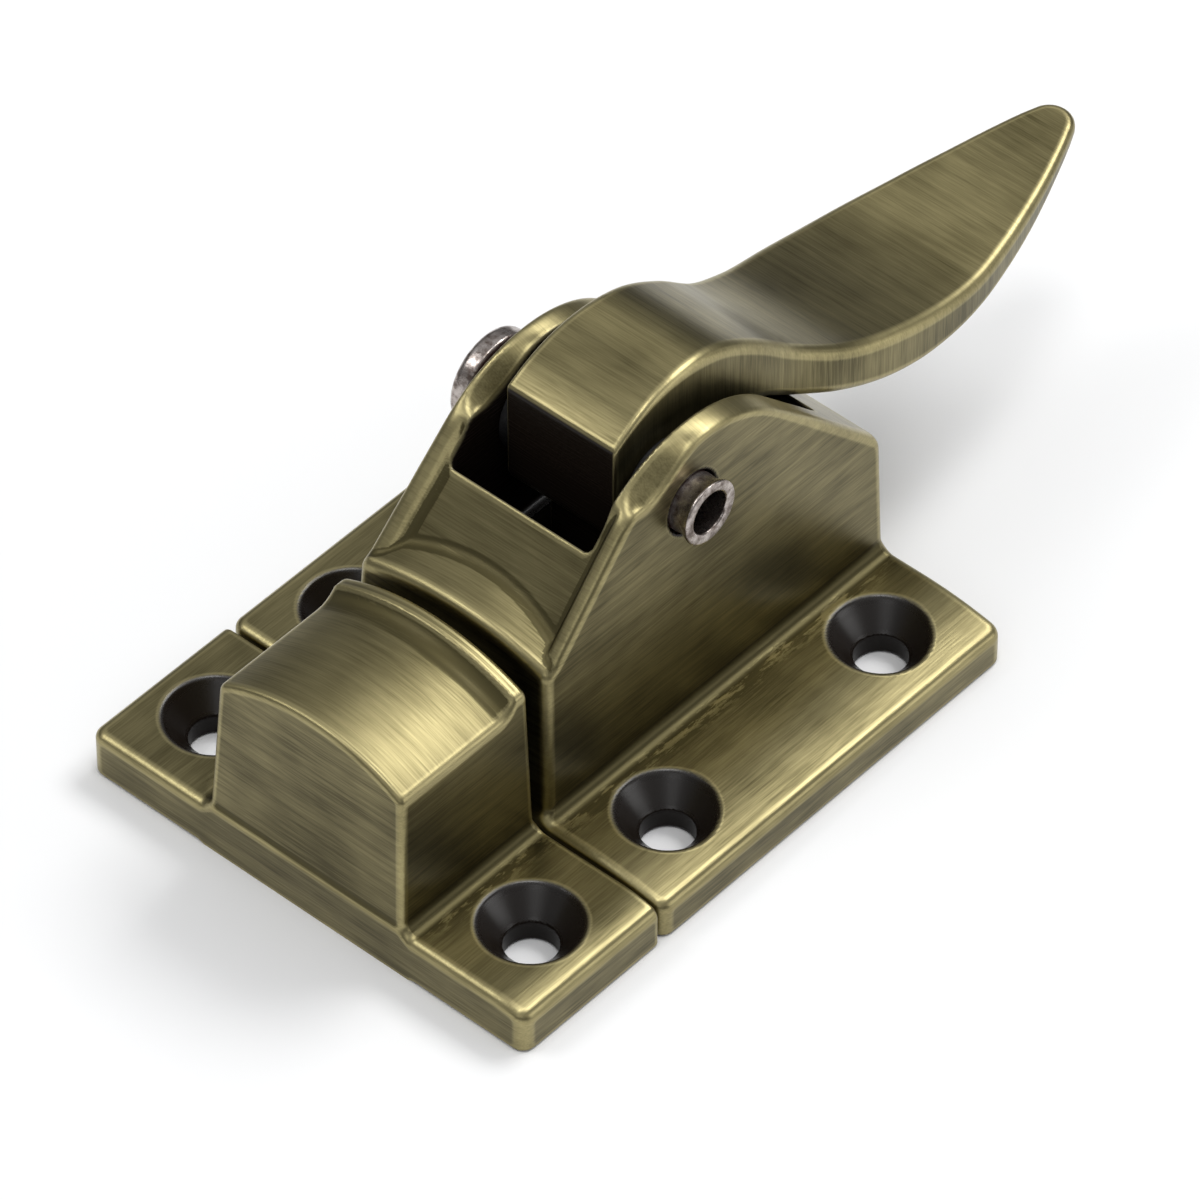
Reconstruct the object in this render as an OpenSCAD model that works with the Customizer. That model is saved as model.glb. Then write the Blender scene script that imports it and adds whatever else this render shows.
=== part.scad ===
// Cabinet latch: a lever latch for a cupboard door, with the strike that its bolt catches.
// X runs across the latch, Y along it and Z away from the door.
// The origin is the middle of the latch's four screw holes, on the face that lies on the door.
// The strike lies towards -Y and the tip of the lever points to +Y.

/* [Plates] */
// Width of the latch plate and of the strike plate
plate_w = 42; // [40:0.5:46]
// Thickness of both plates
plate_t = 4; // [3.6:0.1:4.4]
// Length of the latch plate
latch_len = 37.5; // [37:0.1:39]
// Length of the strike plate
strike_len = 14.3; // [14:0.1:16]
// Slit between the two plates
plate_gap = 0.4; // [0.2:0.1:0.8]
// Rounding of the plates' top edges
edge_r = 1; // [0.6:0.1:1.4]

/* [Screw holes] */
// Bore of the screw holes
hole_d = 4.1; // [3.6:0.1:4.6]
// Width of the countersinks
sink_d = 7.9; // [7:0.1:8.4]
// Depth of the countersinks
sink_depth = 2.2; // [1.8:0.1:2.6]
// Distance between the holes across the latch
hole_dx = 30.5; // [30:0.1:33]
// Distance between the holes along the latch plate
hole_dy = 23.4; // [22:0.1:25]

/* [Housing] */
// Width of the housing where it meets the plate
house_w = 19.2; // [18.8:0.1:20]
// Draft of the cast side walls, in degrees
draft = 2.6; // [1.5:0.1:3]
// Height of the tops of the ears
house_top = 29; // [28.6:0.1:29.6]
// Height of the back wall
back_h = 14.7; // [14.5:0.1:15.5]
// Height of the front ledge at its two ends
ledge_h = 17.2; // [16.8:0.1:17.6]
// Rise of the arched ledge in its middle
ledge_rise = 1.4; // [1:0.1:1.8]
// Depth of the ledge at its two ends
ledge_depth = 2.4; // [2:0.1:2.8]
// Width of the bright rims beside the slanted face
rim_w = 1.1; // [1:0.1:1.3]
// Width of the bevels that lead from the rims down to the slanted face
rim_bevel = 1; // [0.6:0.1:1.1]
// Depth of the slanted face below its rims
rim_h = 0.9; // [0.6:0.1:1.2]
// Width of the slot that the lever works in
slot_w = 13.2; // [13:0.1:13.8]
// Radius of the fillet between the housing and the plate
fillet_r = 1; // [0.5:0.1:1.4]

/* [Pivot] */
// Distance of the pivot from the front edge of the latch plate
pivot_in = 17; // [16.8:0.1:17.4]
// Height of the pivot
pivot_h = 23.2; // [22.9:0.1:23.5]
// Diameter of the rivet's shank
rivet_d = 5; // [4.6:0.1:5.3]
// Bore of the rivet's open end
rivet_bore = 3.5; // [3:0.1:3.8]
// Diameter of the rivet's plain head
rivet_head_d = 8; // [7.4:0.1:8.4]
// How far the rivet's open end stands out of the ear
rivet_out = 1.7; // [1.3:0.1:2]

/* [Lever] */
// Width of the lever's hub
hub_w = 10.4; // [10:0.1:10.8]
// Distance from the pivot to the tip of the lever
lever_reach = 51.8; // [48:0.1:56]
// Greatest width of the blade
blade_w = 13.8; // [12.6:0.1:15]
// Rounding of the lever's tip
tip_r = 2; // [1.6:0.1:2.4]
// Height of the lever's crown above the pivot
crown_h = 8.1; // [7.8:0.1:8.6]
// Distance from the pivot to the middle of the foot
foot_drop = 14; // [13.8:0.1:14.2]
// Thickness of the foot
foot_t = 4.4; // [4:0.1:4.6]
// Width of the foot
foot_w = 6; // [5:0.1:6.4]
// How far the lever turns, in degrees
lever_turn = 30; // [26:1:31]

/* [Bolt] */
// Width of the bolt
bolt_w = 10.4; // [10:0.1:10.7]
// Height of the top of the bolt
bolt_top = 13.95; // [13.8:0.05:14]
// Height of the underside of the bolt's nose
nose_low = 5.6; // [5.2:0.1:6.4]
// How far the bolt's nose stands out of the latch plate's front edge
nose_out = 6.2; // [5.6:0.1:6.3]
// Wire of the spring
wire_d = 0.7; // [0.6:0.05:0.75]
// Outer diameter of the spring
spring_d = 6.6; // [6:0.1:7.2]
// Free turns of the spring
spring_turns = 6; // [5:1:6]

/* [Back plate] */
// Thickness of the back plate
back_t = 1; // [0.8:0.1:1.2]
// Width of the back plate
back_w = 20; // [19:0.5:22]
// Diameter of the two small screws
small_screw_d = 2.1; // [1.8:0.1:2.3]

/* [Strike hood] */
// Width of the hood where it meets the plate
hood_w = 18.7; // [18.2:0.1:19.2]
// Height of the hood's top at its two sides
hood_h = 16.3; // [16:0.1:17]
// Rise of the arched top in its middle
hood_rise = 2.3; // [1.8:0.1:2.6]
// Height of the lip on the side of the latch
lip_h = 0.9; // [0.6:0.1:1.2]
// Lean of the hood's front face, in degrees
hood_lean = 4; // [2:0.5:5]
// Thickness of the hood's side walls
hood_wall = 2.4; // [2:0.1:2.8]
// Height of the ceiling inside the hood
hood_ceiling = 14.6; // [14.4:0.1:14.9]

/* [Hidden] */
$fn = 64;
eps = 0.01;

brass = [0.47, 0.43, 0.27];
steel = [0.62, 0.58, 0.56];
dark_steel = [0.42, 0.42, 0.42];

// Clearances
slide_gap = 0.15;
part_gap = 0.3;
bore_gap = 0.06;
thread_gap = 0.05;

// Places along the latch
front_y = -latch_len / 2;
back_y = latch_len / 2;
pivot_y = front_y + pivot_in;
strike_back_y = front_y - plate_gap;
strike_front_y = strike_back_y - strike_len;
house_front_y = front_y + 0.4;

// Housing: two slopes at 45 degrees and the arc that joins them
slope_foot_y = front_y + ledge_depth;
slope_foot_z = ledge_h + 1;
apex_y = (slope_foot_y - slope_foot_z + back_y + back_h) / 2;
apex_z = slope_foot_z + apex_y - slope_foot_y;
ear_r = (apex_z - house_top) / (sqrt(2) - 1);
ear_z = apex_z - ear_r * sqrt(2);
crease_y = apex_y - ear_r * sin(45) + 0.5;
face_drop = rim_h * sqrt(2);
ledge_pitch = 15;

// Slot for the lever, and the channel for the bolt under it
channel_top = bolt_top + slide_gap;
channel_w = bolt_w + 2 * slide_gap;
front_wall = 2.2;
rear_wall = 3.5;
channel_front_y = house_front_y + front_wall;
channel_rear_y = back_y - rear_wall;
slot_front_y = front_y + 8.4;
slot_back_y = back_y - 4.9;
slot_heel_y = pivot_y + foot_drop * sin(lever_turn) + foot_t / 2 + part_gap;

// Lever, measured from the pivot
hub_front = 4.3;
hub_r = 5.2;
crown_front = crown_h - 2.5;
top_line = [
    [-hub_front, crown_front], [-0.5, crown_h - 0.6], [3.5, crown_h], [7.5, crown_h - 0.75],
    [11.5, 5.0], [15.5, 1.75], [20, -0.9], [0.5 * lever_reach, -2.8], [0.655 * lever_reach, -4.2],
    [0.81 * lever_reach, -4.0], [lever_reach, -2.9]];
under_line = [
    [lever_reach, -4.1], [0.91 * lever_reach, -5.2], [0.83 * lever_reach, -6.4],
    [0.675 * lever_reach, -7.4], [0.52 * lever_reach, -7.3], [21, -5.8], [15.5, -3.2], [11, -0.4],
    [7.5, 1.2], [5.1, 0.9]];
hub_half = hub_w / 2;
blade_half = blade_w / 2;
side_line = [
    [-hub_front - 1, hub_half], [11, hub_half], [15, hub_half + 0.2], [19, 0.45 * hub_half + 0.55 * blade_half],
    [24, 0.98 * blade_half], [0.56 * lever_reach, blade_half], [0.66 * lever_reach, 0.95 * blade_half],
    [0.75 * lever_reach, 0.81 * blade_half], [0.83 * lever_reach, 0.65 * blade_half],
    [0.91 * lever_reach, 0.46 * blade_half], [lever_reach - tip_r, 1.09 * tip_r]];

// Bolt
bolt_travel = foot_drop * sin(lever_turn);
foot_z = pivot_h - foot_drop;
shoulder_y = channel_front_y + 0.2;
window_rear_y = pivot_y + foot_t / 2 + part_gap + 0.05;
window_front_y = pivot_y - bolt_travel + (pivot_h - bolt_top) * tan(lever_turn)
    - foot_t / 2 / cos(lever_turn) - part_gap;
bolt_rear_y = window_rear_y + 2.5;
bolt_low = back_t + slide_gap;
spring_z = (bolt_low + bolt_top) / 2;
spring_len = channel_rear_y - bolt_rear_y;
stud_r = spring_d / 2 - wire_d - 0.3;
stud_len = (spring_len - bolt_travel) / 2 - part_gap;

// Back plate and its screws
back_front_y = channel_front_y + 0.3;
back_rear_y = channel_rear_y + 1.2;
screw_x = (channel_w + house_w) / 4;
screw_deep = 6;

// Strike hood
hood_front_y = strike_front_y + 0.15;
hood_back_y = strike_back_y - 0.15;
cove_len = 2.3;
lip_top = 0.45;

function half_width(w, z) = w / 2 - (z - plate_t) * tan(draft);

// Arc of a circle as points, from angle a to angle b
function arc(c, r, a, b, n) = [for (i = [0:n]) c + r * [cos(a + (b - a) * i / n), sin(a + (b - a) * i / n)]];

// Smooth curve through points, with n steps between neighbours
function knot(p, i) = p[max(0, min(len(p) - 1, i))];
function blend_point(a, b, c, d, t) =
    0.5 * (2 * b + (c - a) * t + (2 * a - 5 * b + 4 * c - d) * t * t + (3 * b - a - 3 * c + d) * t * t * t);
function smooth(p, n) = concat(
    [for (i = [0:len(p) - 2]) for (k = [0:n - 1])
        blend_point(knot(p, i - 1), p[i], p[i + 1], knot(p, i + 2), k / n)],
    [p[len(p) - 1]]);

// Radius of an arch from its half width and its rise
function arch_radius(half, rise) = (half * half + rise * rise) / (2 * rise);

// A flat outline of Y and Z, drawn out along X to both sides
module along_x(length) {
    rotate([90, 0, 90]) linear_extrude(length, center = true) children();
}

// A flat outline of X and Z, drawn out along Y
module along_y(y0, y1) {
    translate([0, y1, 0]) rotate([90, 0, 0]) linear_extrude(y1 - y0) children();
}

// A solid turned about a line parallel to Y at height z; its outline holds radius and Y
module turned_about_y(z) {
    translate([0, 0, z]) rotate([-90, 0, 0]) rotate_extrude($fn = 180) children();
}

// A bar with its two top edges rounded, seen from its end
module rounded_end(w, h, r) {
    translate([-w / 2, 0]) square([w, h - r]);
    translate([-w / 2 + r, 0]) square([w - 2 * r, h]);
    for (s = [-1, 1]) translate([s * (w / 2 - r), h - r]) circle(r);
}

module rounded_rectangle(w, l, r) {
    square([w - 2 * r, l], center = true);
    square([w, l - 2 * r], center = true);
    for (sx = [-1, 1]) for (sy = [-1, 1]) translate([sx * (w / 2 - r), sy * (l / 2 - r)]) circle(r);
}

// A plate with rounded corners and rounded top edges
module cast_plate(length) {
    intersection() {
        linear_extrude(plate_t) rounded_rectangle(plate_w, length, edge_r);
        along_y(-length, length) rounded_end(plate_w, plate_t, edge_r);
        along_x(2 * plate_w) rounded_end(length, plate_t, edge_r);
    }
}

module countersunk_hole() {
    translate([0, 0, -eps]) cylinder(h = plate_t + 2 * eps, d = hole_d);
    translate([0, 0, plate_t - sink_depth]) cylinder(h = sink_depth, d1 = hole_d, d2 = sink_d);
    translate([0, 0, plate_t - eps]) cylinder(h = 1, d = sink_d);
}

// A block whose side walls lean in with the draft
module drafted_block(w, y0, y1, top) {
    low = plate_t - 1;
    along_y(y0, y1) polygon([
        [-half_width(w, low), low], [half_width(w, low), low],
        [half_width(w, top), top], [-half_width(w, top), top]]);
}

// Fillet along the foot of a wall, on both sides
module foot_fillets(w, y0, y1) {
    for (s = [-1, 1])
        along_y(y0, y1) difference() {
            translate([s * (w / 2 + fillet_r / 2 - 0.25), plate_t + fillet_r / 2 - 0.05])
                square([fillet_r + 0.5, fillet_r + 0.1], center = true);
            translate([s * (w / 2 + fillet_r), plate_t + fillet_r]) circle(fillet_r);
        }
}

// Outline of the housing seen from its side
module housing_side() {
    polygon(concat(
        [[back_y, plate_t - 1], [house_front_y, plate_t - 1],
        [house_front_y + ledge_h * tan(draft), ledge_h], [slope_foot_y, slope_foot_z]],
        arc([apex_y, ear_z], ear_r, 135, 45, 12),
        [[back_y, back_h]]));
}

// The slanted face lies a little below the rims at its two sides, with a bevel along each rim
module slanted_recess() {
    half = half_width(house_w, ledge_h + 4) - rim_w;
    floor_half = half - rim_bevel;
    start = (house_front_y - 1 - slope_foot_y) * sqrt(2);
    end = (crease_y - slope_foot_y) * sqrt(2);
    translate([0, slope_foot_y, slope_foot_z]) rotate([-45, 0, 0]) translate([0, 0, start])
        linear_extrude(end - start) polygon([
            [-half, -5], [half, -5], [half, 0], [floor_half, rim_h], [-floor_half, rim_h], [-half, 0]]);
}

// The arched ledge under the slanted face
module ledge() {
    half = half_width(house_w, ledge_h);
    r = arch_radius(half, ledge_rise);
    depth = slot_front_y - house_front_y;
    crown_z = ledge_h + ledge_rise;
    intersection() {
        drafted_block(house_w, house_front_y, slot_front_y, house_top);
        turned_about_y(crown_z - r) polygon([
            [0, house_front_y], [r, house_front_y + ledge_h * tan(draft)],
            [r + depth * tan(ledge_pitch), slot_front_y], [0, slot_front_y]]);
        along_x(plate_w) polygon([
            [house_front_y, 0], [house_front_y + ledge_h * tan(draft) + 0.1, ledge_h + 3],
            [slope_foot_y + 3, slope_foot_z + 3 - face_drop + 0.4], [slot_front_y, slope_foot_z], [slot_front_y, 0]]);
    }
}

// Slot between the ears, open at the top and down to the bolt's channel
module lever_slot() {
    slope_z = back_h + back_y - slot_back_y;
    along_x(slot_w) polygon([
        [slot_front_y, channel_top - 1], [slot_front_y, house_top + 5], [slot_back_y, house_top + 5],
        [slot_back_y, slope_z - 0.6], [slot_heel_y, channel_top + 3], [slot_heel_y, channel_top - 1]]);
}

module bolt_channel() {
    translate([-channel_w / 2, channel_front_y, -1])
        cube([channel_w, channel_rear_y - channel_front_y, channel_top + 1]);
    translate([-channel_w / 2, house_front_y - 1, nose_low - slide_gap])
        cube([channel_w, front_wall + 2, channel_top - nose_low + slide_gap]);
}

module spring_stud(length) {
    rotate([90, 0, 0]) cylinder(h = length, r = stud_r);
}

module latch_body() {
    color(brass) {
        difference() {
            union() {
                cast_plate(latch_len);
                difference() {
                    intersection() {
                        along_x(plate_w) housing_side();
                        drafted_block(house_w, front_y, back_y, house_top + 1);
                    }
                    slanted_recess();
                }
                ledge();
                foot_fillets(house_w, house_front_y, back_y);
            }
            for (sx = [-1, 1]) for (sy = [-1, 1])
                translate([sx * hole_dx / 2, sy * hole_dy / 2, 0]) countersunk_hole();
            lever_slot();
            bolt_channel();
            translate([0, pivot_y, pivot_h]) rotate([0, 90, 0])
                cylinder(h = 2 * plate_w, r = rivet_d / 2 + thread_gap, center = true);
            translate([-back_w / 2 - slide_gap, back_front_y - slide_gap, -1])
                cube([back_w + 2 * slide_gap, back_rear_y - back_front_y + 2 * slide_gap, back_t + 1]);
            for (s = [-1, 1]) translate([s * screw_x, 0, 0])
                cylinder(h = screw_deep + 0.5, r = small_screw_d / 2 + thread_gap);
        }
        translate([0, channel_rear_y, spring_z]) spring_stud(stud_len);
    }
}

module strike() {
    half = half_width(hood_w, hood_h);
    r = arch_radius(half, hood_rise);
    crown_z = hood_h + hood_rise;
    cove_r = (cove_len * cove_len + lip_h * lip_h) / (2 * lip_h);
    cove_angle = asin(cove_len / cove_r);
    cove_y = hood_back_y - lip_top - cove_len;
    lean = (crown_z + 2) * tan(hood_lean);
    color(brass)
        difference() {
            union() {
                translate([0, (strike_front_y + strike_back_y) / 2, 0]) cast_plate(strike_len);
                intersection() {
                    drafted_block(hood_w, strike_front_y, strike_back_y, crown_z + 2);
                    along_x(plate_w) polygon([
                        [hood_front_y, plate_t - 1], [hood_front_y + lean, crown_z + 2],
                        [hood_back_y, crown_z + 2], [hood_back_y, plate_t - 1]]);
                    turned_about_y(crown_z - r) polygon(concat(
                        [[0, strike_front_y], [r, strike_front_y]],
                        arc([r + cove_r, cove_y], cove_r, 180, 180 - cove_angle, 6),
                        [[r + lip_h, hood_back_y], [0, hood_back_y]]));
                }
                foot_fillets(hood_w, hood_front_y, hood_back_y);
            }
            for (s = [-1, 1])
                translate([s * hole_dx / 2, (strike_front_y + strike_back_y) / 2, 0]) countersunk_hole();
            translate([-hood_w / 2 + hood_wall, hood_front_y + hood_wall, -1])
                cube([hood_w - 2 * hood_wall, strike_len, hood_ceiling + 1]);
        }
}

// Outline of the hub and blade seen from the side
module lever_side() {
    polygon(concat(
        smooth(top_line, 5),
        smooth(under_line, 5),
        arc([0, 0], hub_r, 10, -145, 20),
        [[-hub_front, -hub_r * sin(35)]]));
}

// Outline of the hub and blade seen from above
module lever_plan() {
    half = concat(smooth(side_line, 5), arc([lever_reach - tip_r, 0], tip_r, 66, 0, 6));
    polygon(concat([for (p = half) [p[1], p[0]]], [for (i = [len(half) - 2:-1:0]) [-half[i][1], half[i][0]]]));
}

module lever() {
    color(brass)
        translate([0, pivot_y, pivot_h])
            difference() {
                union() {
                    intersection() {
                        along_x(2 * blade_w) lever_side();
                        translate([0, 0, -2 * foot_drop]) linear_extrude(3 * foot_drop) lever_plan();
                    }
                    along_x(foot_w) {
                        translate([-foot_t / 2, -foot_drop]) square([foot_t, foot_drop]);
                        translate([0, -foot_drop]) circle(foot_t / 2);
                    }
                }
                rotate([0, 90, 0]) cylinder(h = 2 * plate_w, r = rivet_d / 2 + bore_gap, center = true);
            }
}

module pivot_rivet() {
    ear = half_width(house_w, pivot_h);
    open_end = ear + rivet_out;
    shank_r = rivet_d / 2;
    flare_r = shank_r + 0.15;
    head_r = rivet_head_d / 2;
    head_under = -ear - 0.75;
    head_top = head_under - 1.65;
    color(steel)
        translate([0, pivot_y, pivot_h]) rotate([0, 90, 0])
            rotate_extrude() polygon(concat(
                [[0, head_top], [head_r - 1, head_top]],
                arc([head_r - 0.8, head_top + 0.8], 0.8, -60, 0, 4),
                [[head_r, head_under], [shank_r, head_under], [shank_r, ear + 0.2],
                [flare_r, open_end - 0.35]],
                arc([flare_r - 0.3, open_end - 0.3], 0.3, 0, 90, 4),
                [[rivet_bore / 2 + 0.2, open_end], [rivet_bore / 2, open_end - 0.3],
                [rivet_bore / 2, open_end - 9], [0, open_end - 9]]));
}

module spacer_washers() {
    inner = hub_w / 2 + 0.1;
    thick = slot_w / 2 - inner - 0.1;
    color(dark_steel)
        for (s = [-1, 1])
            translate([s * (inner + thick / 2), pivot_y, pivot_h]) rotate([0, 90, 0])
                difference() {
                    cylinder(h = thick, r = rivet_d / 2 + 1.2, center = true);
                    cylinder(h = 2 * thick, r = rivet_d / 2 + thread_gap, center = true);
                }
}

// Outline of the bolt's nose seen from the side, bevelled on the underside
module bolt_nose() {
    tip_y = front_y - nose_out;
    polygon([
        [shoulder_y + 1, bolt_top], [tip_y + 0.5, bolt_top], [tip_y, bolt_top - 0.5], [tip_y, bolt_top - 1.8],
        [front_y - 1.2, nose_low], [shoulder_y + 1, nose_low]]);
}

module bolt() {
    window_w = foot_w + 2 * part_gap + 0.2;
    window_low = foot_z - foot_t / 2 - 2 * part_gap;
    color(brass)
        difference() {
            union() {
                along_x(bolt_w) bolt_nose();
                translate([-bolt_w / 2, shoulder_y, bolt_low])
                    cube([bolt_w, bolt_rear_y - shoulder_y, bolt_top - bolt_low]);
                translate([0, bolt_rear_y + stud_len, spring_z]) spring_stud(stud_len + 0.5);
            }
            translate([-window_w / 2, window_front_y, window_low])
                cube([window_w, window_rear_y - window_front_y, bolt_top]);
        }
}

// Points of one ring of the spring's wire, square to the coil
function coil_ring(a, y) = [for (k = [0:7])
    let (r = (spring_d - wire_d) / 2 + wire_d / 2 * cos(45 * k))
    [r * cos(a), y + wire_d / 2 * sin(45 * k), r * sin(a)]];

module bolt_spring() {
    steps = 18 * spring_turns;
    travel = spring_len - wire_d - 2 * slide_gap;
    points = [for (i = [0:steps]) for (p = coil_ring(360 * spring_turns * i / steps, travel * i / steps)) p];
    sides = [for (i = [0:steps - 1]) for (k = [0:7])
        [8 * i + k, 8 * i + (k + 1) % 8, 8 * (i + 1) + (k + 1) % 8, 8 * (i + 1) + k]];
    ends = [[for (k = [7:-1:0]) k], [for (k = [0:7]) 8 * steps + k]];
    color(steel)
        translate([0, bolt_rear_y + slide_gap + wire_d / 2, spring_z])
            polyhedron(points, concat(sides, ends), convexity = 8);
}

module back_plate() {
    color(dark_steel)
        difference() {
            translate([-back_w / 2, back_front_y, 0]) cube([back_w, back_rear_y - back_front_y, back_t]);
            for (s = [-1, 1]) translate([s * screw_x, 0, 0]) {
                translate([0, 0, -1]) cylinder(h = back_t + 2, d = small_screw_d + 0.2);
                translate([0, 0, -eps])
                    cylinder(h = 0.75 * back_t, d1 = small_screw_d + 1.9, d2 = small_screw_d + 0.2);
            }
        }
}

module plate_screws() {
    color(steel)
        for (s = [-1, 1])
            translate([s * screw_x, 0, 0])
                difference() {
                    union() {
                        cylinder(h = screw_deep, d = small_screw_d);
                        cylinder(h = 0.75 * back_t, d1 = small_screw_d + 1.7, d2 = small_screw_d);
                    }
                    translate([-2.5, -0.25, -1]) cube([5, 0.5, 1.4]);
                }
}

latch_body();
strike();
lever();
pivot_rivet();
spacer_washers();
bolt();
bolt_spring();
back_plate();
plate_screws();
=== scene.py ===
"""Looks of the cabinet latch: brushed antique brass castings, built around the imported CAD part."""

import math

import bpy
import numpy as np
from mathutils import Matrix, Vector


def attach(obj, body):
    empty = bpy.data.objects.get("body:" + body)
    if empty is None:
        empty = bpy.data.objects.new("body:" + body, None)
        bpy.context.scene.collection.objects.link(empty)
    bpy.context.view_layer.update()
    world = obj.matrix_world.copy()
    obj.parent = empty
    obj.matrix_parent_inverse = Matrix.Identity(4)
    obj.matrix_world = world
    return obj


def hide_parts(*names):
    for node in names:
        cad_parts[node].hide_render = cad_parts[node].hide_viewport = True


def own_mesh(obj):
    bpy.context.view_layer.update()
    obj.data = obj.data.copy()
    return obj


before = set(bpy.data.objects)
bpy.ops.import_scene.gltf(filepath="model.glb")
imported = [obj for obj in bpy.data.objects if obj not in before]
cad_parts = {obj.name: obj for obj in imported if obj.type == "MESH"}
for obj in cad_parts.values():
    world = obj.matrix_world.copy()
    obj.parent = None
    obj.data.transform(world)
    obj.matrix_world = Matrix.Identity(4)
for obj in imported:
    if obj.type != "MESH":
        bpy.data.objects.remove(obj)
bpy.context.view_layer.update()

# All lengths below are in millimetres. MM turns them into metres.
MM = 0.001

GRID_SCALE = 1.0

# Room between pieces that slide or are let in, and the depth from which cuts through a back start
CLEARANCE = 0.15
BELOW = -4.0

# Plates and their screw holes. A roll is the width and drop of a top's polished near side.
PLATE_W = 42.0
PLATE_T = 4.0
LATCH_LEN = 37.5
STRIKE_LEN = 14.3
PLATE_GAP = 0.4
CORNER_R = 1.1
EDGE_R = 0.75
LATCH_ROLL = (7.5, 0.9)
STRIKE_ROLL = (3.2, 0.5)
HOLE_R = 2.05
SINK_R = 3.95
SINK_DEPTH = 2.2
HOLE_X = 15.25
HOLE_Y = 11.7
FRONT_Y = -LATCH_LEN / 2
BACK_Y = LATCH_LEN / 2
STRIKE_BACK_Y = FRONT_Y - PLATE_GAP
STRIKE_FRONT_Y = STRIKE_BACK_Y - STRIKE_LEN

# Housing of the latch
DRAFT = math.radians(2.6)
HOUSE_W = 19.2
HOUSE_FRONT_Y = FRONT_Y + 0.4
HOUSE_TOP = 29.0
BACK_H = 14.7
LEDGE_H = 17.2
LEDGE_RISE = 1.4
LEDGE_PITCH = math.radians(15)
SLOPE_FOOT_Y = FRONT_Y + 2.4
SLOPE_FOOT_Z = LEDGE_H + 1.0
APEX_Y = (SLOPE_FOOT_Y - SLOPE_FOOT_Z + BACK_Y + BACK_H) / 2
APEX_Z = SLOPE_FOOT_Z + APEX_Y - SLOPE_FOOT_Y
EAR_R = (APEX_Z - HOUSE_TOP) / (math.sqrt(2) - 1)
CREASE_Y = APEX_Y - EAR_R * math.sin(math.radians(45)) + 0.5
FAR_BEVEL = 1.2
NEAR_BEVEL = 0.5
RIM_W = 1.0
RIM_H = 0.65
SLOT_HALF = 6.6
EAR_OUTER = HOUSE_W / 2 - (HOUSE_TOP - PLATE_T) * math.tan(DRAFT)
SLOT_FRONT_Y = FRONT_Y + 8.4
SLOT_BACK_Y = BACK_Y - 4.9
SLOT_BACK_Z = BACK_H + BACK_Y - SLOT_BACK_Y - 0.6
SLOT_HEEL_Y = FRONT_Y + 26.5
FILLET_R = 1.0
ROOT_Z = 0.3

# Bolt, its channel, and the sheet and screws that close it
BOLT_TOP = 13.95
BOLT_HALF = 5.2
BOLT_LOW = 1.15
NOSE_LOW = 5.6
NOSE_TIP_Y = FRONT_Y - 6.2
NOSE_BEVEL_Y = FRONT_Y - 1.2
NOSE_BEVEL_Z = BOLT_TOP - 1.8
BOLT_REAR_Y = FRONT_Y + 22.05
CHANNEL_TOP = BOLT_TOP + CLEARANCE
CHANNEL_HALF = BOLT_HALF + CLEARANCE
CHANNEL_FRONT_Y = HOUSE_FRONT_Y + 2.2
CHANNEL_REAR_Y = BACK_Y - 3.5
SLOT_HEEL_Z = CHANNEL_TOP + 3.0
SPRING_Z = (BOLT_LOW + BOLT_TOP) / 2
STUD_R = 2.3
STUD_LEN = 2.15
WINDOW_HALF = 3.4
WINDOW_LOW = 6.4
SHEET_HALF = 10.0
SHEET_T = 1.0
SHEET_FRONT_Y = CHANNEL_FRONT_Y + 0.3
SHEET_REAR_Y = CHANNEL_REAR_Y + 1.2
SCREW_X = 7.45
SCREW_R = 1.05
SCREW_LEN = 6.0
SCREW_HEAD_R = 1.8
SCREW_NECK = 1.2
SCREW_PITCH = 0.45
THREAD_DEPTH = 0.096

# Pivot, washers, lever and rivet
PIVOT_Y = FRONT_Y + 17.0
PIVOT_Z = 23.2
WASHER_R = 3.7
WASHER_T = 1.2
WASHER_X = 5.9
RIVET_R = 2.5
HEAD_R = 4.0
HUB_HALF = 5.2
HUB_FRONT = 4.3
HUB_R = 5.2
REACH = 51.8
TIP_R = 2.0
BLADE_HALF = 6.9
FOOT_DROP = 14.0
FOOT_R = 2.2
FOOT_HALF = 3.0
CROWN = 8.1

# How the grinder has tilted the ears' tops: where most, over what length, and how steeply
GRIND_Y = PIVOT_Y - 3.0
GRIND_LEN = 2.8
GRIND_SLANT = 0.22
GRIND_FRONT_SLANT = 0.62
GRIND_WIDTH = 3.0

# Strike hood
HOOD_W = 18.7
HOOD_H = 16.3
HOOD_RISE = 2.3
LIP_H = 0.9
LIP_TOP = 1.15
COVE_LEN = 1.9
HOOD_LEAN = math.radians(4)
HOOD_WALL = 2.4
HOOD_CEILING = 14.6
HOOD_FRONT_Y = STRIKE_FRONT_Y + 0.15
HOOD_BACK_Y = STRIKE_BACK_Y - 0.15

# Colours, as red, green, blue and alpha
BRASS = (0.37, 0.32, 0.158, 1)
PATINA = (0.082, 0.069, 0.029, 1)
# The countersinks' own black, also used as painted shade in recesses and closed-in gaps.
SINK_BLACK_AND_SHADE = (0.010, 0.007, 0.005, 1)


def overlap(a, b, r):
    """Distance to what two solids share, with the edge between them rounded to radius r."""
    corner = np.hypot(np.maximum(a + r, 0), np.maximum(b + r, 0))
    return np.minimum(-r, np.maximum(a, b)) + corner


def joined(a, b, r):
    """Distance to two solids together, with a fillet of radius r between them."""
    return -overlap(-a, -b, r)


def carved(a, b, r):
    """Distance to solid a without solid b, with the edge of the cut rounded to radius r."""
    return overlap(a, -b, r)


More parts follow.
